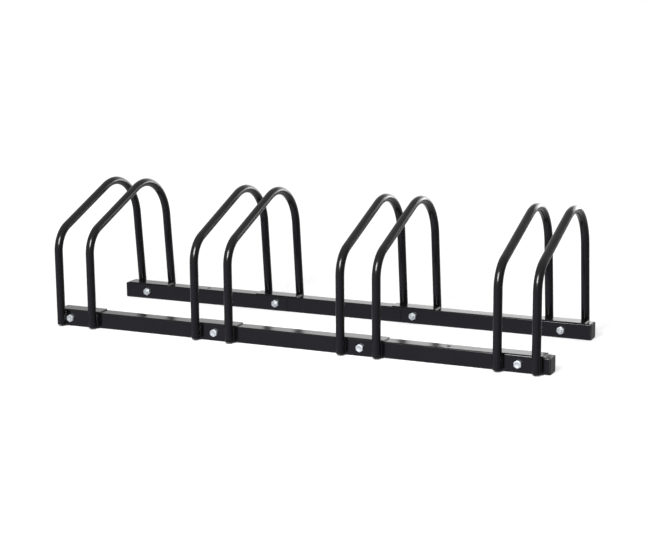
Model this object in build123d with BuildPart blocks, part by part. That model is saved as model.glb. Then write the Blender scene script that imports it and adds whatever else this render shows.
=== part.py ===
from build123d import *

import os
from math import cos, radians, sin, sqrt, tan

# Floor bike stand: wheel bays of two bent hoops each, welded to brackets that are bolted over two rails.
# It stands on the floor at Z = 0. X runs along it, the front is towards -Y, and the origin is its middle.
# All sizes are in millimetres and degrees.

# Overall size across the stand
WIDTH = 330.0
HEIGHT = 262.0

# Bays along the stand
BAYS = 4
BAY_PITCH = 295.0
HOOP_SPACING = 70.0
LEFT_OVERHANG = 16.0
RIGHT_OVERHANG = 22.5

# Bent tube of the hoops
TUBE_DIAMETER = 16.0
TUBE_WALL = 1.2
FRONT_BEND_RADIUS = 51.0
TOP_BEND_RADIUS = 88.0
SLOPE_ANGLE = 21.0
REAR_LEAN = 5.6
FOOT_CLEARANCE = 3.5

# Square tube of the rails
RAIL_SIZE = 30.0
RAIL_WALL = 1.5
RAIL_BEND_RADIUS = 1.0
JOINT_FROM_BOLT = 25.0
NECK_LENGTH = 45.0
NECK_CLEARANCE = 0.3
NECK_SHOULDER = 2.0
FIXING_HOLE_DIAMETER = 8.5

# Sheet brackets
SHEET = 2.0
SHEET_BEND_RADIUS = 2.0
SHEET_CORNER = 2.0
BRACKET_OVERHANG = 10.0

# Welds in the grooves between leg and web
WELD_GAP = 0.2
BEAD_RADIUS = 2.5
BEAD_SINK = 1.3
BEAD_CLEARANCE = 0.02
BEAD_END_MARGIN = 3.0
REAR_BEAD_LENGTH = 12.0

# Bolts and nuts
BOLT_DIAMETER = 8.0
BOLT_HOLE_CLEARANCE = 0.5
ACROSS_FLATS = 13.0
HEAD_HEIGHT = 5.3
NUT_HEIGHT = 6.5
NUT_CLEARANCE = 0.05
BOLT_TIP = 1.5
FIRST_BOLT_FROM_LEG = 16.0

# End caps of the rails
CAP_FLANGE = 3.0
CAP_EDGE_RADIUS = 1.2
PLUG_DEPTH = 15.0
PLUG_WALL = 2.0
PLUG_CLEARANCE = 0.2

# Places worked out from the sizes above
lean = radians(REAR_LEAN)
slope = radians(SLOPE_ANGLE)
tube_radius = TUBE_DIAMETER / 2
bracket_top = RAIL_SIZE + SHEET
bracket_length = HOOP_SPACING + 2 * BRACKET_OVERHANG
bolt_z = RAIL_SIZE / 2
rail_bore = RAIL_SIZE - 2 * RAIL_WALL
rail_corner = RAIL_BEND_RADIUS + RAIL_WALL
length = LEFT_OVERHANG + (BAYS - 1) * BAY_PITCH + HOOP_SPACING + RIGHT_OVERHANG
first_bay_x = LEFT_OVERHANG + HOOP_SPACING / 2 - length / 2
bay_x = [first_bay_x + bay * BAY_PITCH for bay in range(BAYS)]

# Each end of the rails, -1 or 1, has its two bays, its tube end, its joint and a floor fixing between them.
end_bay = {-1: 0, 1: BAYS - 1}
joint_bay = {-1: 1, 1: BAYS - 2}
tube_end_x = {end: end * (length / 2 - CAP_FLANGE) for end in end_bay}
joint_x = {end: bay_x[joint_bay[end]] - end * JOINT_FROM_BOLT for end in end_bay}
fixing_x = {end: (tube_end_x[end] + joint_x[end]) / 2 for end in end_bay}

front_leg_y = tube_radius - WIDTH / 2
rear_foot_y = WIDTH / 2 - tube_radius * cos(lean)
rear_leg_at_bracket_top = rear_foot_y - (bracket_top - FOOT_CLEARANCE) * tan(lean)

# Each side has its direction into the stand, the outer face of its webs and the middle of its rail.
inward = {"front": 1, "rear": -1}
web_y = {
    "front": front_leg_y + tube_radius + WELD_GAP,
    "rear": rear_leg_at_bracket_top - tube_radius / cos(lean) - WELD_GAP,
}
rail_y = {side: web_y[side] + inward[side] * (SHEET + RAIL_SIZE / 2) for side in inward}


def bolt_x(side, bay):
    """Bolts stand at the middle of their bay, apart from the first bay's front bolt beside its left leg."""
    if side == "front" and bay == 0:
        return bay_x[bay] - HOOP_SPACING / 2 + FIRST_BOLT_FROM_LEG
    return bay_x[bay]


def save(part, name):
    part.label = name
    export_step(part, f"parts/{name}.step")


def across_plane(x, side):
    """Upright plane across the stand: its x runs inwards from the web's outer face and its y runs up."""
    into = inward[side]
    return Plane(origin=(x, web_y[side], 0), x_dir=(0, into, 0), z_dir=(into, 0, 0))


def bolt_plane(side, bay, from_web=0):
    """Plane square to a bolt, with its normal pointing out of the stand."""
    into = inward[side]
    origin = (bolt_x(side, bay), web_y[side] + into * from_web, bolt_z)
    return Plane(origin=origin, x_dir=(into, 0, 0), z_dir=(0, -into, 0))


def cut_bolt_hole(side, bay):
    """Cuts a bolt's clearance hole right through the part that is being built."""
    with BuildSketch(bolt_plane(side, bay)) as hole:
        Circle(BOLT_DIAMETER / 2 + BOLT_HOLE_CLEARANCE)
    extrude(hole.sketch, amount=RAIL_SIZE + 2 * SHEET, both=True, mode=Mode.SUBTRACT)


def hoop_corners():
    """Corners of a hoop's centreline, as (y, z): the feet, and where the straight runs would meet."""
    bend_z = HEIGHT - tube_radius - TOP_BEND_RADIUS
    bend_y = rear_foot_y - (bend_z - FOOT_CLEARANCE) * tan(lean) - TOP_BEND_RADIUS / cos(lean)
    front_z = bend_z + TOP_BEND_RADIUS / cos(slope) - (bend_y - front_leg_y) * tan(slope)
    depth = rear_foot_y + FOOT_CLEARANCE * tan(lean) - front_leg_y
    rear_z = (front_z + depth * tan(slope)) / (1 + tan(lean) * tan(slope))
    rear_y = front_leg_y + depth - rear_z * tan(lean)
    return (
        (front_leg_y, FOOT_CLEARANCE),
        (front_leg_y, front_z),
        (rear_y, rear_z),
        (rear_foot_y, FOOT_CLEARANCE),
    )


def make_hoop(x, name):
    with BuildPart() as hoop:
        with BuildLine(Plane(origin=(x, 0, 0), x_dir=(0, 1, 0), z_dir=(1, 0, 0))) as path:
            FilletPolyline(*hoop_corners(), radius=(FRONT_BEND_RADIUS, TOP_BEND_RADIUS))
        with BuildSketch(Plane(origin=path.line @ 0, z_dir=path.line % 0)):
            Circle(tube_radius)
            Circle(tube_radius - TUBE_WALL, mode=Mode.SUBTRACT)
        sweep()
    save(hoop.part, name)


def make_bracket(side, bay, name):
    flange_end = SHEET + RAIL_SIZE
    with BuildPart() as bracket:
        with BuildSketch(across_plane(bay_x[bay], side)):
            with BuildLine():
                outside = FilletPolyline(
                    (0, 0),
                    (0, bracket_top),
                    (flange_end, bracket_top),
                    radius=SHEET_BEND_RADIUS + SHEET,
                )
                inside = FilletPolyline(
                    (SHEET, 0),
                    (SHEET, RAIL_SIZE),
                    (flange_end, RAIL_SIZE),
                    radius=SHEET_BEND_RADIUS,
                )
                Line(outside @ 0, inside @ 0)
                Line(outside @ 1, inside @ 1)
            make_face()
        extrude(amount=bracket_length / 2, both=True)
        short_edges = bracket.edges().filter_by(lambda edge: edge.length < 1.5 * SHEET)
        corners = short_edges.filter_by(Axis.Z) + short_edges.filter_by(Axis.Y)
        fillet(corners, radius=SHEET_CORNER)
        cut_bolt_hole(side, bay)
    save(bracket.part, name)


def make_welds(bay, name):
    """Beads in the grooves on both sides of the four legs, clear of the tubes and flush with the webs."""
    rise = BEAD_RADIUS - BEAD_SINK
    aside = sqrt((tube_radius + rise) ** 2 - (tube_radius + WELD_GAP - rise) ** 2)
    bead_top = bracket_top - BEAD_END_MARGIN
    bead_bottom = {"front": BEAD_END_MARGIN, "rear": bead_top - REAR_BEAD_LENGTH}
    leg_foot_y = {"front": front_leg_y, "rear": rear_foot_y}
    leg_up = {"front": (0, 0, 1), "rear": (0, -sin(lean), cos(lean))}
    legs = [bay_x[bay] - HOOP_SPACING / 2, bay_x[bay] + HOOP_SPACING / 2]
    with BuildPart() as welds:
        for side in inward:
            outer_y = web_y[side] - inward[side] * rise
            bead_places = [(leg_x + sign * aside, outer_y) for leg_x in legs for sign in (-1, 1)]
            with BuildSketch(Plane.XY.offset(bead_bottom[side])):
                with Locations(*bead_places):
                    Circle(BEAD_RADIUS)
            extrude(amount=bead_top - bead_bottom[side])
            with BuildSketch(Plane.XY.offset(bead_bottom[side])):
                with Locations((bay_x[bay], web_y[side] + inward[side] * BEAD_RADIUS)):
                    Rectangle(bracket_length, 2 * BEAD_RADIUS)
            extrude(amount=bead_top - bead_bottom[side], mode=Mode.SUBTRACT)
            for leg_x in legs:
                foot = (leg_x, leg_foot_y[side], FOOT_CLEARANCE)
                with BuildSketch(Plane(origin=foot, x_dir=(1, 0, 0), z_dir=leg_up[side])):
                    Circle(tube_radius + BEAD_CLEARANCE)
                extrude(amount=2 * bracket_top, mode=Mode.SUBTRACT)
    save(welds.part, name)


def rail_section(side, x):
    """Upright plane across a rail, with its normal along +X."""
    return Plane(origin=(x, rail_y[side], RAIL_SIZE / 2), x_dir=(0, 1, 0), z_dir=(1, 0, 0))


def make_outer_rail(side, end, name):
    """Outer section of a rail, from the joint with the middle section to its capped end."""
    with BuildPart() as rail:
        with BuildSketch(rail_section(side, joint_x[end])):
            RectangleRounded(RAIL_SIZE, RAIL_SIZE, rail_corner)
            RectangleRounded(rail_bore, rail_bore, RAIL_BEND_RADIUS, mode=Mode.SUBTRACT)
        extrude(amount=tube_end_x[end] - joint_x[end])
        cut_bolt_hole(side, end_bay[end])
        cut_bolt_hole(side, joint_bay[end])
        with BuildSketch(Plane(origin=(fixing_x[end], rail_y[side], 0))):
            Circle(FIXING_HOLE_DIAMETER / 2)
        extrude(amount=RAIL_SIZE, mode=Mode.SUBTRACT)
    save(rail.part, name)


def make_middle_rail(side, name):
    """Middle section, whose two necked ends plug into the outer sections."""
    neck = rail_bore - 2 * NECK_CLEARANCE
    neck_bore = neck - 2 * RAIL_WALL
    middle = rail_section(side, (joint_x[-1] + joint_x[1]) / 2)
    half_length = (joint_x[1] - joint_x[-1]) / 2
    with BuildPart() as rail:
        with BuildSketch(middle):
            RectangleRounded(RAIL_SIZE, RAIL_SIZE, rail_corner)
        extrude(amount=half_length, both=True)
        with BuildSketch(middle):
            RectangleRounded(neck, neck, RAIL_BEND_RADIUS)
        extrude(amount=half_length + NECK_LENGTH, both=True)
        with BuildSketch(middle):
            RectangleRounded(rail_bore, rail_bore, RAIL_BEND_RADIUS)
        extrude(amount=half_length - NECK_SHOULDER, both=True, mode=Mode.SUBTRACT)
        with BuildSketch(middle):
            Rectangle(neck_bore, neck_bore)
        extrude(amount=half_length + NECK_LENGTH, both=True, mode=Mode.SUBTRACT)
        for end in joint_bay:
            cut_bolt_hole(side, joint_bay[end])
    save(rail.part, name)


def make_end_cap(side, end, name):
    """Cap with a flange over the end of the tube and a hollow square plug inside it."""
    plug = rail_bore - 2 * PLUG_CLEARANCE
    plug_bore = plug - 2 * PLUG_WALL
    with BuildPart() as cap:
        with BuildSketch(rail_section(side, tube_end_x[end])):
            RectangleRounded(RAIL_SIZE, RAIL_SIZE, rail_corner)
        extrude(amount=end * CAP_FLANGE)
        outer_face = cap.faces().sort_by(Axis.X)[0 if end < 0 else -1]
        fillet(outer_face.edges(), radius=CAP_EDGE_RADIUS)
        with BuildSketch(rail_section(side, tube_end_x[end])):
            RectangleRounded(plug, plug, RAIL_BEND_RADIUS)
            Rectangle(plug_bore, plug_bore, mode=Mode.SUBTRACT)
        extrude(amount=-end * PLUG_DEPTH)
    save(cap.part, name)


def hexagon():
    RegularPolygon(ACROSS_FLATS / 2, side_count=6, major_radius=False, rotation=30)


def make_bolts(name):
    shank = SHEET + RAIL_SIZE + NUT_HEIGHT + BOLT_TIP
    with BuildPart() as bolts:
        for side in inward:
            for bay in range(BAYS):
                plane = bolt_plane(side, bay)
                with BuildSketch(plane):
                    hexagon()
                extrude(amount=HEAD_HEIGHT)
                with BuildSketch(plane):
                    Circle(BOLT_DIAMETER / 2)
                extrude(amount=-shank)
    save(bolts.part, name)


def make_nuts(name):
    with BuildPart() as nuts:
        for side in inward:
            for bay in range(BAYS):
                with BuildSketch(bolt_plane(side, bay, SHEET + RAIL_SIZE)):
                    hexagon()
                    Circle(BOLT_DIAMETER / 2 + NUT_CLEARANCE, mode=Mode.SUBTRACT)
                extrude(amount=-NUT_HEIGHT)
    save(nuts.part, name)


os.makedirs("parts", exist_ok=True)
for bay in range(BAYS):
    bay_name = f"bay_{bay + 1}"
    make_hoop(bay_x[bay] - HOOP_SPACING / 2, f"{bay_name}_left_hoop")
    make_hoop(bay_x[bay] + HOOP_SPACING / 2, f"{bay_name}_right_hoop")
    make_bracket("front", bay, f"{bay_name}_front_bracket")
    make_bracket("rear", bay, f"{bay_name}_rear_bracket")
    make_welds(bay, f"{bay_name}_welds")
for side in inward:
    make_outer_rail(side, -1, f"{side}_left_rail")
    make_middle_rail(side, f"{side}_middle_rail")
    make_outer_rail(side, 1, f"{side}_right_rail")
    make_end_cap(side, -1, f"{side}_left_end_cap")
    make_end_cap(side, 1, f"{side}_right_end_cap")
make_bolts("hex_bolts")
make_nuts("hex_nuts")
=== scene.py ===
from math import cos, pi, radians, sin, sqrt, tan, tau

import bmesh
import bpy
from mathutils import Matrix, Vector


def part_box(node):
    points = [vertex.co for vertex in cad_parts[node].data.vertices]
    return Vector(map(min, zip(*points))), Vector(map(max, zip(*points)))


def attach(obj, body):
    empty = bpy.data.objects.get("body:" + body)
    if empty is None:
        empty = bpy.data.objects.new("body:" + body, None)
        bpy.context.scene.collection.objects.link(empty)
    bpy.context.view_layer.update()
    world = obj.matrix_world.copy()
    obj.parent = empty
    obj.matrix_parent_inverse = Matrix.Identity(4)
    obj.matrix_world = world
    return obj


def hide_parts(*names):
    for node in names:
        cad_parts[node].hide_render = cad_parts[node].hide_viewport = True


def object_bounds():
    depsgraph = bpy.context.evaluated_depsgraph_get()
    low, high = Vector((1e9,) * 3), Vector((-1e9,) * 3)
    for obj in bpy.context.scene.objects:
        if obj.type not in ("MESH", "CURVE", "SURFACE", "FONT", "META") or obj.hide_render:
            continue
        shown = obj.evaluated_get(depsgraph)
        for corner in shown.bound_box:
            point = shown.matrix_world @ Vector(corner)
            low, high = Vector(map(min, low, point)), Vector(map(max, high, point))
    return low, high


# Bike stand with four wheel bays: looks for the CAD frame.
# Lengths are in metres, in the frame's axes: X along the stand, the front towards -Y
# and the floor at Z = 0.
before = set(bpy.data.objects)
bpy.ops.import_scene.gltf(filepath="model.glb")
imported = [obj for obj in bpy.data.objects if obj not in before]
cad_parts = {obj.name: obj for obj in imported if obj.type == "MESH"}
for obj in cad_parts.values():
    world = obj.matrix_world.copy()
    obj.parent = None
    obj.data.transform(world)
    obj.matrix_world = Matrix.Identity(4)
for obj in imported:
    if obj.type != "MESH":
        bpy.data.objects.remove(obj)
cad_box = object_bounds()

BAYS = 4
SIDES = {"front": 1, "rear": -1}  # the sign of the way inwards along Y

# Fasteners
HEX_ACROSS_FLATS = 0.013
HEX_CHAMFER = radians(30)
CROWN_RADIUS = 0.46 * HEX_ACROSS_FLATS
HEAD_HEIGHT = 0.0053
HEAD_DISH = 0.0004
DISH_FLOOR_SHARE = 0.62  # of the crown's radius
DISH_RIM_SHARE = 0.74
WASHER_FACE = 0.0004
NUT_HEIGHT = 0.0065
NUT_BORE_RADIUS = 0.00405
NUT_COUNTERSINK = 0.0005
SHANK_RADIUS = 0.004
THREAD_PITCH = 0.00125
THREAD_DEPTH = 0.00068
THREAD_LENGTH = 0.0045
THREAD_STEPS = 10  # rings to a pitch
BOLT_TIP = 0.0015
TIP_CHAMFER = 0.0008
ROUND_STEPS = 48
TURN_STEP = 37  # spreads the turns of the heads from bay to bay, in degrees
TURN_RANGE = 17
NUT_TURN_RATIO = -2

# Weld beads
TUBE_RADIUS = 0.008
BEAD_RADIUS = 0.0025
BEAD_SINK = 0.0013
BEAD_RIPPLE = 0.00035
BEAD_RIPPLE_PITCH = 0.0017
RIPPLE_LAG = 0.35  # how far a ripple's sides trail its middle, in pitches
BEAD_END_POWER = 8  # how late the ends round off
BEAD_END_MARGIN = 0.003
REAR_BEAD_LENGTH = 0.012
BEAD_STEP = 0.0003
BEAD_SIDES = 18

# Cut edges as the coating leaves them
EDGE_ROUNDING = 0.00015
RAIL_END_ROUNDING = 0.0011
ROUNDING_SEGMENTS = 3
ROUND_PROFILE = 0.5
RAIL_WALL = 0.0015
RIM_MARGIN = 1e-4
JOINT_REACH = 0.9  # rail joints lie within this share of the stand's half length
SHARP_ANGLE = radians(35)
FLAT_ANGLE = radians(0.5)
MERGE_DISTANCE = 1e-6

# Finishes: colours are linear, and a pair of roughnesses goes from smooth to dull places
CLOUD_RANGE = (0.35, 0.65)
NOISE_RANGE = (0.3, 0.7)
COAT_COLOURS = (0.0030, 0.0029, 0.0036), (0.0040, 0.0038, 0.0048)
COAT_ROUGHNESS = (0.17, 0.22)
PEEL_HEIGHT = 0.000012
DUST_COLOUR = (0.05, 0.05, 0.05)
DUST_SPECKS = (0.62, 0.75)
DUST_LEVEL_FACES = (0.6, 1.0)
DUST_MOST = 0.35
PLASTIC_COLOURS = (0.012, 0.012, 0.0123), (0.018, 0.018, 0.0184)
PLASTIC_ROUGHNESS = (0.42, 0.55)
PLASTIC_SPECULAR = 0.42
GRAIN_HEIGHT = 0.00004
ZINC_COLOURS = (0.86, 0.905, 0.91), (0.70, 0.745, 0.765)
ZINC_CLOUD_RANGE = (0.35, 0.7)
ZINC_METALLIC = 0.85
ZINC_ROUGHNESS = (0.5, 0.62)
FORGE_MARK_HEIGHT = 0.00002

# Floor
FLOOR_HALF = 12.0
FLOOR_GAP = 0.0003
FLOOR_COLOUR = 0.8
NEAR_GLOW = 0.56
FAR_GLOW = 0.82
GLOW_RADII = (0.55, 1.6)
# The three below set a painted contact shade: ambient occlusion dims the floor's glow near the
# stand and below its holes.
PAINTED_SHADE_REACH = 0.05
PAINTED_SHADE_SAMPLES = 8
PAINTED_SHADE_OPENNESS = (0.15, 0.45)  # openness at which the floor has no glow and all of it

# World: levels of light, and the shares of a direction to the right, back or up
# between which they change
WHITE = (1.0, 1.0, 1.0)
CAMERA_WHITE = 1.0
FILL_LIGHT = 0.3
SIDE_WALLS = (0.42, 0.20)
SIDE_WALLS_RIGHT = (-0.1, 0.9)
BACK_WALL = (0.65, 0.36)
BACK_WALL_RIGHT = (0.1, 0.4)
BACK_WALL_BACK = (0.2, 0.9)
CEILING = 0.48
CEILING_RISE = (0.2, 0.9)
BACKDROP = 2.1
BACKDROP_LEFT_EDGE = (-0.56, -0.22)
BACKDROP_RIGHT_EDGE = (0.25, 0.5)
BACKDROP_BACK = (0.4, 0.7)
BACKDROP_LOW_EDGE = (-0.12, 0.06)
BACKDROP_HIGH_EDGE = (0.2, 0.5)
FLOOR_TINT = (1.08, 1.03, 1.27)
TINT_RISE = (0.05, -0.25)
TINT_BACK = (0.1, -0.5)

# Soft boxes: name, place, target, width, height and radiance
SOFT_BOXES = (
    ("front_soft_box", (0.18, -1.51, 1.1), (0, -0.15, 0.17), 0.72, 0.72, 21.0),
    ("back_soft_box", (1.34, 3.2, 0.45), (0, 0.1, 0.2), 0.7, 0.9, 6.0),
    ("back_card", (0.72, 0.95, 0.58), (-0.15, 0, 0.2), 0.42, 0.42, 2.0),
)

# Camera
CAMERA_PLACE = (1.2661, -2.7894, 0.7609)
CAMERA_TURN = radians(24.249)
CAMERA_TILT = radians(90 - 12.060)
CAMERA_ROLL = radians(-0.508)
CAMERA_LENS = 91.518
CAMERA_SENSOR = 36.0


# Places read from the frame

def bay_centre(bay):
    low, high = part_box(f"bay_{bay}_front_bracket")
    return (low.x + high.x) / 2


def web_face(side):
    """Y of the outer face of a side's bracket webs."""
    low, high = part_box(f"bay_1_{side}_bracket")
    return low.y if side == "front" else high.y


def rail_inner_face(side):
    low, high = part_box(f"{side}_middle_rail")
    return high.y if side == "front" else low.y


def bolt_x(side, bay):
    """Bolts stand at the middle of their bay, apart from the first in front, the leftmost."""
    if side == "front" and bay == 1:
        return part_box("hex_bolts")[0].x + HEX_ACROSS_FLATS / 2
    return bay_centre(bay)


bolt_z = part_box("front_middle_rail")[1].z / 2
bracket_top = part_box("bay_1_front_bracket")[1].z


# Shader nodes

def compute(tree, operation, first, second):
    node = tree.nodes.new("ShaderNodeMath")
    node.operation = operation
    tree.links.new(first, node.inputs[0])
    tree.links.new(second, node.inputs[1])
    return node.outputs["Value"]


def product(tree, first, *others):
    for other in others:
        first = compute(tree, "MULTIPLY", first, other)
    return first


def span(tree, value, source, target=(0.0, 1.0)):
    """Maps a range of a value to another range, and holds it inside."""
    node = tree.nodes.new("ShaderNodeMapRange")
    tree.links.new(value, node.inputs["Value"])
    names = ("From Min", "From Max", "To Min", "To Max")
    for name, number in zip(names, (*source, *target)):
        node.inputs[name].default_value = number
    return node.outputs["Result"]


def fall(tree, value, source):
    """Goes from 1 down to 0 along a range of a value."""
    return span(tree, value, source, (1.0, 0.0))


def mix(tree, share, first, second):
    """Mixes two levels of light, each a fixed number or the output of a node."""
    node = tree.nodes.new("ShaderNodeMix")
    tree.links.new(share, node.inputs["Factor"])
    for socket, level in ((node.inputs["A"], first), (node.inputs["B"], second)):
        if isinstance(level, float):
            socket.default_value = level
        else:
            tree.links.new(level, socket)
    return node.outputs["Result"]


def blend(tree, share, first, second):
    """Mixes two colours, each a fixed colour or the output of a node."""
    node = tree.nodes.new("ShaderNodeMix")
    node.data_type = "RGBA"
    tree.links.new(share, node.inputs["Factor"])
    colour_a, colour_b = node.inputs[6], node.inputs[7]  # the sockets that colours use
    for socket, colour in ((colour_a, first), (colour_b, second)):
        if isinstance(colour, tuple):
            socket.default_value = (*colour, 1.0)
        else:
            tree.links.new(colour, socket)
    return node.outputs[2]


def noise(tree, place, scale, detail, roughness=0.5):
    node = tree.nodes.new("ShaderNodeTexNoise")
    node.inputs["Scale"].default_value = scale
    node.inputs["Detail"].default_value = detail
    node.inputs["Roughness"].default_value = roughness
    tree.links.new(place, node.inputs["Vector"])
    return node.outputs["Fac"]


def bump(tree, shader, height, distance):
    node = tree.nodes.new("ShaderNodeBump")
    node.inputs["Distance"].default_value = distance
    tree.links.new(height, node.inputs["Height"])
    tree.links.new(node.outputs["Normal"], shader.inputs["Normal"])


def facing_up(tree, source):
    """Share of dust that a face holds, by how level it lies."""
    normal = tree.nodes.new("ShaderNodeNewGeometry").outputs["Normal"]
    split = tree.nodes.new("ShaderNodeSeparateXYZ")
    tree.links.new(normal, split.inputs["Vector"])
    return span(tree, split.outputs["Z"], source)


def along(tree, direction, way):
    """How far a direction lies along a way."""
    node = tree.nodes.new("ShaderNodeVectorMath")
    node.operation = "DOT_PRODUCT"
    node.inputs[1].default_value = way
    tree.links.new(direction, node.inputs[0])
    return node.outputs["Value"]


def camera_rays(tree):
    return tree.nodes.new("ShaderNodeLightPath").outputs["Is Camera Ray"]


def mirrored_rays(tree):
    """Rays that a glossy or clear surface sends on."""
    path = tree.nodes.new("ShaderNodeLightPath").outputs
    return compute(tree, "MAXIMUM", path["Is Glossy Ray"], path["Is Transmission Ray"])


# Materials

def new_material(name):
    """A material with its node tree, its principled shader and the stand's own coordinates."""
    material = bpy.data.materials.new(name)
    material.use_nodes = True
    tree = material.node_tree
    shader = tree.nodes["Principled BSDF"]
    place = tree.nodes.new("ShaderNodeTexCoord").outputs["Object"]
    return material, tree, shader, place


def powder_coat():
    """Black powder coat: soft gloss, orange peel, faint clouds and dust on level faces."""
    material, tree, shader, place = new_material("powder_coat_black")
    clouds = span(tree, noise(tree, place, scale=18.0, detail=4.0), CLOUD_RANGE)
    colour = blend(tree, clouds, *COAT_COLOURS)
    specks = noise(tree, place, scale=420.0, detail=3.0, roughness=0.7)
    level_faces = facing_up(tree, DUST_LEVEL_FACES)
    dust = product(tree, level_faces, span(tree, specks, DUST_SPECKS))
    dust = span(tree, dust, (0.0, 1.0), (0.0, DUST_MOST))
    colour = blend(tree, dust, colour, DUST_COLOUR)
    tree.links.new(colour, shader.inputs["Base Color"])
    sheen = noise(tree, place, scale=60.0, detail=3.0)
    tree.links.new(span(tree, sheen, NOISE_RANGE, COAT_ROUGHNESS), shader.inputs["Roughness"])
    peel = noise(tree, place, scale=650.0, detail=1.0, roughness=0.4)
    bump(tree, shader, peel, PEEL_HEIGHT)
    return material


def cap_plastic():
    """Moulded black plastic with a fine spark-eroded grain."""
    material, tree, shader, place = new_material("cap_plastic_black")
    clouds = span(tree, noise(tree, place, scale=45.0, detail=3.0), CLOUD_RANGE)
    tree.links.new(blend(tree, clouds, *PLASTIC_COLOURS), shader.inputs["Base Color"])
    grain = noise(tree, place, scale=2600.0, detail=2.0, roughness=0.6)
    tree.links.new(span(tree, grain, NOISE_RANGE, PLASTIC_ROUGHNESS), shader.inputs["Roughness"])
    shader.inputs["Specular IOR Level"].default_value = PLASTIC_SPECULAR
    bump(tree, shader, grain, GRAIN_HEIGHT)
    return material


def zinc_plate():
    """Bright zinc plating, a little cloudy, over the marks that forging leaves."""
    material, tree, shader, place = new_material("zinc_plate")
    clouds = noise(tree, place, scale=380.0, detail=4.0, roughness=0.6)
    colour = blend(tree, span(tree, clouds, ZINC_CLOUD_RANGE), *ZINC_COLOURS)
    tree.links.new(colour, shader.inputs["Base Color"])
    shader.inputs["Metallic"].default_value = ZINC_METALLIC
    marks = noise(tree, place, scale=1500.0, detail=3.0, roughness=0.6)
    tree.links.new(span(tree, marks, NOISE_RANGE, ZINC_ROUGHNESS), shader.inputs["Roughness"])
    bump(tree, shader, marks, FORGE_MARK_HEIGHT)
    return material


coat = powder_coat()
plastic = cap_plastic()
zinc = zinc_plate()


# Pieces

def add_piece(name, mesh, material, slot, *nodes):
    """Puts a finished mesh in the scene, where it stands for the CAD nodes."""
    mesh.shade_smooth()
    mesh.set_sharp_from_angle(angle=SHARP_ANGLE)
    mesh.materials.append(material)
    piece = bpy.data.objects.new(name, mesh)
    bpy.context.scene.collection.objects.link(piece)
    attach(piece, "root")
    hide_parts(*nodes)
    return piece


def mesh_from(bm, name):
    bmesh.ops.recalc_face_normals(bm, faces=bm.faces)
    mesh = bpy.data.meshes.new(name)
    bm.to_mesh(mesh)
    bm.free()
    return mesh


def hex_radius(angle):
    """Distance from a hexagon's middle to its edge, with flats across the angle 0."""
    return HEX_ACROSS_FLATS / 2 / cos((angle + pi / 6) % (pi / 3) - pi / 6)


def add_rings(bm, rings, closed):
    """Skins a stack of rings, each of which gives (radius, height) for an angle.

    A closed stack joins its last ring to its first. An open one gets a middle point at each end.
    """
    angles = [tau * step / ROUND_STEPS for step in range(ROUND_STEPS)]
    rows = []
    for ring in rings:
        row = []
        for angle in angles:
            radius, height = ring(angle)
            row.append(bm.verts.new((radius * cos(angle), radius * sin(angle), height)))
        rows.append(row)
    pairs = list(zip(rows, rows[1:]))
    if closed:
        pairs.append((rows[-1], rows[0]))
    for row, following in pairs:
        add_band(bm, row, following)
    if closed:
        return
    for row in (rows[0], rows[-1]):
        middle = bm.verts.new((0, 0, row[0].co.z))
        for step in range(ROUND_STEPS):
            bm.faces.new((row[step], row[(step + 1) % ROUND_STEPS], middle))


def add_band(bm, row, following):
    """A band of faces between two rings of points."""
    for step in range(len(row)):
        after = (step + 1) % len(row)
        bm.faces.new((row[step], row[after], following[after], following[step]))


def round_ring(radius, height):
    return lambda angle: (radius, height)


def hex_ring(height, chamfer=0):
    """A ring round the hexagon. A chamfer of 1 or -1 lets its corners fall or rise."""

    def ring(angle):
        radius = hex_radius(angle)
        return radius, height - chamfer * (radius - CROWN_RADIUS) * tan(HEX_CHAMFER)

    return ring


def thread_ring(height):
    """A ring of the bolt's thread, whose ridge winds round by one pitch a turn."""

    def ring(angle):
        phase = (height / THREAD_PITCH + angle / tau) % 1
        return SHANK_RADIUS - THREAD_DEPTH * abs(2 * phase - 1), height

    return ring


def bolt_mesh(name, grip):
    """A hex bolt, head up from Z = 0 and shank down, threaded where it comes out of the nut."""
    tip = -grip - NUT_HEIGHT - BOLT_TIP
    thread_top = tip + THREAD_LENGTH
    threaded = THREAD_LENGTH - TIP_CHAMFER
    steps = round(threaded / THREAD_PITCH * THREAD_STEPS)
    drop = threaded / steps
    rings = [
        round_ring(DISH_FLOOR_SHARE * CROWN_RADIUS, HEAD_HEIGHT - HEAD_DISH),
        round_ring(DISH_RIM_SHARE * CROWN_RADIUS, HEAD_HEIGHT),
        round_ring(CROWN_RADIUS, HEAD_HEIGHT),
        hex_ring(HEAD_HEIGHT, chamfer=1),
        hex_ring(WASHER_FACE),
        round_ring(CROWN_RADIUS, WASHER_FACE),
        round_ring(CROWN_RADIUS, 0),
        round_ring(SHANK_RADIUS, 0),
        round_ring(SHANK_RADIUS, thread_top + THREAD_PITCH / 2),
    ]
    rings += [thread_ring(thread_top - drop * step) for step in range(steps + 1)]
    rings.append(round_ring(SHANK_RADIUS - THREAD_DEPTH - TIP_CHAMFER / 2, tip))
    bm = bmesh.new()
    add_rings(bm, rings, closed=False)
    return mesh_from(bm, name)


def nut_mesh(name):
    """A hex nut that stands on Z = 0, chamfered on both faces, with a countersunk bore."""
    mouth = NUT_BORE_RADIUS + NUT_COUNTERSINK
    rings = [
        round_ring(NUT_BORE_RADIUS, NUT_COUNTERSINK),
        round_ring(mouth, 0),
        round_ring(CROWN_RADIUS, 0),
        hex_ring(0, chamfer=-1),
        hex_ring(NUT_HEIGHT, chamfer=1),
        round_ring(CROWN_RADIUS, NUT_HEIGHT),
        round_ring(mouth, NUT_HEIGHT),
        round_ring(NUT_BORE_RADIUS, NUT_HEIGHT - NUT_COUNTERSINK),
    ]
    bm = bmesh.new()
    add_rings(bm, rings, closed=True)
    return mesh_from(bm, name)


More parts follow.
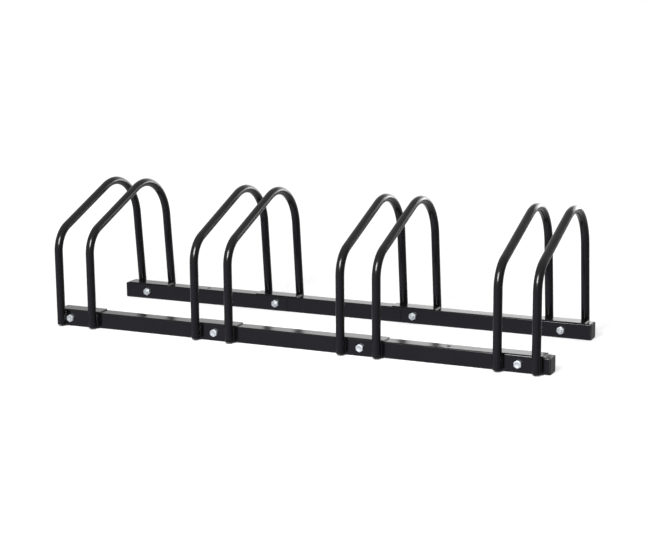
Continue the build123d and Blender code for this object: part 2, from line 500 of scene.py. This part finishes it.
def across_stand(x, y, outward, turn):
    """Places a fastener: its Z axis along Y, by the sign of outward, and spun about it by turn."""
    tilt = Matrix.Rotation(outward * -pi / 2, 4, "X")
    return Matrix.Translation((x, y, bolt_z)) @ tilt @ Matrix.Rotation(turn, 4, "Z")


def add_fasteners():
    for side, inward in SIDES.items():
        grip = abs(rail_inner_face(side) - web_face(side))
        for bay in range(1, BAYS + 1):
            x = bolt_x(side, bay)
            turn = radians(TURN_STEP * bay % TURN_RANGE - TURN_RANGE // 2)
            bolt = bolt_mesh(f"{side}_bolt_{bay}", grip)
            bolt.transform(across_stand(x, web_face(side), -inward, turn))
            add_piece(f"{side}_bolt_{bay}", bolt, zinc, "zinc", "hex_bolts")
            nut = nut_mesh(f"{side}_nut_{bay}")
            nut.transform(across_stand(x, rail_inner_face(side), inward, NUT_TURN_RATIO * turn))
            add_piece(f"{side}_nut_{bay}", nut, zinc, "zinc", "hex_nuts")


def add_bead(bm, bottom, top, outward):
    """A closed weld bead along a straight line, with the crescent ripples of its passes."""
    run = top - bottom
    length_way = run.normalized()
    across = length_way.cross(outward).normalized()
    out = across.cross(length_way).normalized()
    steps = round(run.length / BEAD_STEP)
    rows = []
    for step in range(1, steps):
        share = step / steps
        rounded = sqrt(1 - (2 * share - 1) ** BEAD_END_POWER)
        row = []
        for corner in range(BEAD_SIDES):
            angle = tau * corner / BEAD_SIDES
            lag = RIPPLE_LAG * BEAD_RIPPLE_PITCH * (1 - cos(angle))
            wave = abs(sin(pi * (share * run.length + lag) / BEAD_RIPPLE_PITCH))
            radius = rounded * (BEAD_RADIUS - BEAD_RIPPLE * (1 - sqrt(wave)))
            spoke = out * (radius * cos(angle)) + across * (radius * sin(angle))
            row.append(bm.verts.new(bottom + run * share + spoke))
        rows.append(row)
    for row, following in zip(rows, rows[1:]):
        add_band(bm, row, following)
    bm.faces.new(rows[0])
    bm.faces.new(rows[-1])


def add_welds():
    """Beads in the grooves on both sides of each leg, where the leg meets its web."""
    rise = BEAD_RADIUS - BEAD_SINK
    bead_top = bracket_top - BEAD_END_MARGIN
    bead_bottom = {"front": BEAD_END_MARGIN, "rear": bead_top - REAR_BEAD_LENGTH}
    for bay in range(1, BAYS + 1):
        name = f"bay_{bay}_weld_beads"
        bm = bmesh.new()
        for hoop in ("left", "right"):
            low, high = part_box(f"bay_{bay}_{hoop}_hoop")
            leg_x = (low.x + high.x) / 2
            for side, inward in SIDES.items():
                leg_y = low.y if side == "front" else high.y
                leg_gap = abs(web_face(side) - leg_y) - 2 * TUBE_RADIUS
                reach = TUBE_RADIUS + (leg_gap if side == "front" else 0) - rise
                aside = sqrt((TUBE_RADIUS + rise) ** 2 - reach**2)
                outer_y = web_face(side) - inward * rise
                for sign in (-1, 1):
                    bottom = Vector((leg_x + sign * aside, outer_y, bead_bottom[side]))
                    top = Vector((leg_x + sign * aside, outer_y, bead_top))
                    add_bead(bm, bottom, top, Vector((sign, -inward, 0)))
        add_piece(name, mesh_from(bm, name), coat, "frame_black", f"bay_{bay}_welds")


def add_coated(node, rounding, is_cut):
    """A copy of a CAD node whose cut edges are rounded by the coating."""
    name = f"{node}_coated"
    bm = bmesh.new()
    bm.from_mesh(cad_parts[node].data)
    bmesh.ops.remove_doubles(bm, verts=bm.verts, dist=MERGE_DISTANCE)
    bmesh.ops.dissolve_limit(bm, angle_limit=FLAT_ANGLE, verts=bm.verts, edges=bm.edges)
    manifold = [edge for edge in bm.edges if edge.is_manifold]
    sharp = [edge for edge in manifold if edge.calc_face_angle() > SHARP_ANGLE]
    cut = [edge for edge in sharp if is_cut(edge)]
    bmesh.ops.bevel(
        bm, geom=cut, offset=rounding, segments=ROUNDING_SEGMENTS,
        profile=ROUND_PROFILE, affect="EDGES",
    )
    piece = add_piece(name, mesh_from(bm, name), coat, "frame_black", node)
    piece.modifiers.new("level_faces", "WEIGHTED_NORMAL").keep_sharp = True


def add_brackets():
    for bay in range(1, BAYS + 1):
        for side in SIDES:
            add_coated(f"bay_{bay}_{side}_bracket", EDGE_ROUNDING, lambda edge: True)


def joint_rim_test(node):
    """A test that finds the outer rims of a rail where it meets the next one."""
    low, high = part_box(node)
    centre = (low + high) / 2
    bore = (high.y - low.y) / 2 - RAIL_WALL

    def outside(vert):
        aside = max(abs(vert.co.y - centre.y), abs(vert.co.z - centre.z))
        return aside > bore + RIM_MARGIN

    def on_joint_rim(edge):
        start, end = edge.verts
        across = abs(start.co.x - end.co.x) < MERGE_DISTANCE
        at_joint = abs(start.co.x) < JOINT_REACH * cad_box[1].x
        return across and at_joint and outside(start) and outside(end)

    return on_joint_rim


def add_rails():
    """Rails with the outer rims of their joints rounded, so that the joints show as seams."""
    for side in SIDES:
        for place in ("left", "middle", "right"):
            node = f"{side}_{place}_rail"
            add_coated(node, RAIL_END_ROUNDING, joint_rim_test(node))


def dress_cad_nodes():
    """Gives the CAD nodes that stay in view their finish."""
    for name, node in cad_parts.items():
        node.data.materials.clear()
        node.data.materials.append(plastic if name.endswith("end_cap") else coat)


dress_cad_nodes()
add_fasteners()
add_welds()
add_brackets()
add_rails()


# Stage, light and camera

def add_floor():
    """White floor that glows to the camera, less near the stand, so that its soft shadow shows.

    The glow fades out where the stand closes the floor in, as below the anchor holes: a painted
    contact shade, taken from ambient occlusion.
    """
    bm = bmesh.new()
    bmesh.ops.create_grid(bm, x_segments=1, y_segments=1, size=FLOOR_HALF)
    mesh = mesh_from(bm, "studio_floor")
    floor = bpy.data.objects.new("studio_floor", mesh)
    floor.location.z = -FLOOR_GAP
    floor.visible_glossy = False
    bpy.context.scene.collection.objects.link(floor)
    material = bpy.data.materials.new("studio_floor")
    material.use_nodes = True
    mesh.materials.append(material)
    tree = material.node_tree
    tree.nodes.remove(tree.nodes["Principled BSDF"])
    paper = tree.nodes.new("ShaderNodeBsdfDiffuse")
    paper.inputs["Color"].default_value = (FLOOR_COLOUR, FLOOR_COLOUR, FLOOR_COLOUR, 1.0)
    place = tree.nodes.new("ShaderNodeTexCoord").outputs["Object"]
    distance = tree.nodes.new("ShaderNodeVectorMath")
    distance.operation = "LENGTH"
    tree.links.new(place, distance.inputs[0])
    strength = span(tree, distance.outputs["Value"], GLOW_RADII, (NEAR_GLOW, FAR_GLOW))
    # Painted contact shade: ambient occlusion dims the glow near contacts and below the holes.
    shade_occlusion = tree.nodes.new("ShaderNodeAmbientOcclusion")
    shade_occlusion.samples = PAINTED_SHADE_SAMPLES
    shade_occlusion.inputs["Distance"].default_value = PAINTED_SHADE_REACH
    glow_left_by_painted_shade = span(tree, shade_occlusion.outputs["AO"], PAINTED_SHADE_OPENNESS)
    glow = tree.nodes.new("ShaderNodeEmission")
    strength = product(tree, camera_rays(tree), strength, glow_left_by_painted_shade)
    tree.links.new(strength, glow.inputs["Strength"])
    white = tree.nodes.new("ShaderNodeAddShader")
    tree.links.new(paper.outputs["BSDF"], white.inputs[0])
    tree.links.new(glow.outputs["Emission"], white.inputs[1])
    tree.links.new(white.outputs["Shader"], tree.nodes["Material Output"].inputs["Surface"])


def add_world():
    """White to the camera and an even fill light on the stand.

    Mirrored rays meet a grey studio that is darker to the right, with a bright backdrop low at the
    back and a cool floor in front.
    """
    world = bpy.data.worlds.new("studio")
    world.use_nodes = True
    bpy.context.scene.world = world
    tree = world.node_tree
    background = tree.nodes["Background"]
    mirrored = mirrored_rays(tree)
    direction = tree.nodes.new("ShaderNodeTexCoord").outputs["Generated"]
    right = along(tree, direction, (1.0, 0.0, 0.0))
    back = along(tree, direction, (0.0, 1.0, 0.0))
    rise = along(tree, direction, (0.0, 0.0, 1.0))
    side_walls = span(tree, right, SIDE_WALLS_RIGHT, SIDE_WALLS)
    back_wall = span(tree, right, BACK_WALL_RIGHT, BACK_WALL)
    walls = mix(tree, span(tree, back, BACK_WALL_BACK), side_walls, back_wall)
    studio = mix(tree, span(tree, rise, CEILING_RISE), walls, CEILING)
    backdrop = product(
        tree,
        span(tree, right, BACKDROP_LEFT_EDGE, (0.0, BACKDROP)),
        fall(tree, right, BACKDROP_RIGHT_EDGE),
        span(tree, back, BACKDROP_BACK),
        span(tree, rise, BACKDROP_LOW_EDGE),
        fall(tree, rise, BACKDROP_HIGH_EDGE),
    )
    unmirrored = span(tree, camera_rays(tree), (0.0, 1.0), (FILL_LIGHT, CAMERA_WHITE))
    level = mix(tree, mirrored, unmirrored, compute(tree, "ADD", studio, backdrop))
    tree.links.new(level, background.inputs["Strength"])
    floor_share = product(
        tree, span(tree, rise, TINT_RISE), span(tree, back, TINT_BACK), mirrored
    )
    tint = blend(tree, floor_share, WHITE, FLOOR_TINT)
    tree.links.new(tint, background.inputs["Color"])


def add_soft_box(name, place, target, width, height, radiance):
    light = bpy.data.lights.new(name, "AREA")
    light.shape = "RECTANGLE"
    light.size = width
    light.size_y = height
    light.energy = radiance * pi * width * height
    lamp = bpy.data.objects.new(name, light)
    lamp.location = place
    way = Vector(target) - Vector(place)
    lamp.rotation_euler = way.to_track_quat("-Z", "Y").to_euler()
    lamp.visible_camera = False
    bpy.context.scene.collection.objects.link(lamp)


def add_camera():
    """The photograph's view, fitted to the places of the legs, rails and bolts in it."""
    data = bpy.data.cameras.new("camera")
    data.sensor_width = CAMERA_SENSOR
    data.lens = CAMERA_LENS
    camera = bpy.data.objects.new("camera", data)
    turn = Matrix.Rotation(CAMERA_TURN, 4, "Z")
    tilt = Matrix.Rotation(CAMERA_TILT, 4, "X")
    roll = Matrix.Rotation(CAMERA_ROLL, 4, "Z")
    camera.matrix_world = Matrix.Translation(CAMERA_PLACE) @ turn @ tilt @ roll
    bpy.context.scene.collection.objects.link(camera)
    bpy.context.scene.camera = camera


add_floor()
add_world()
for soft_box in SOFT_BOXES:
    add_soft_box(*soft_box)
add_camera()
bpy.context.scene.view_settings.view_transform = "Standard"
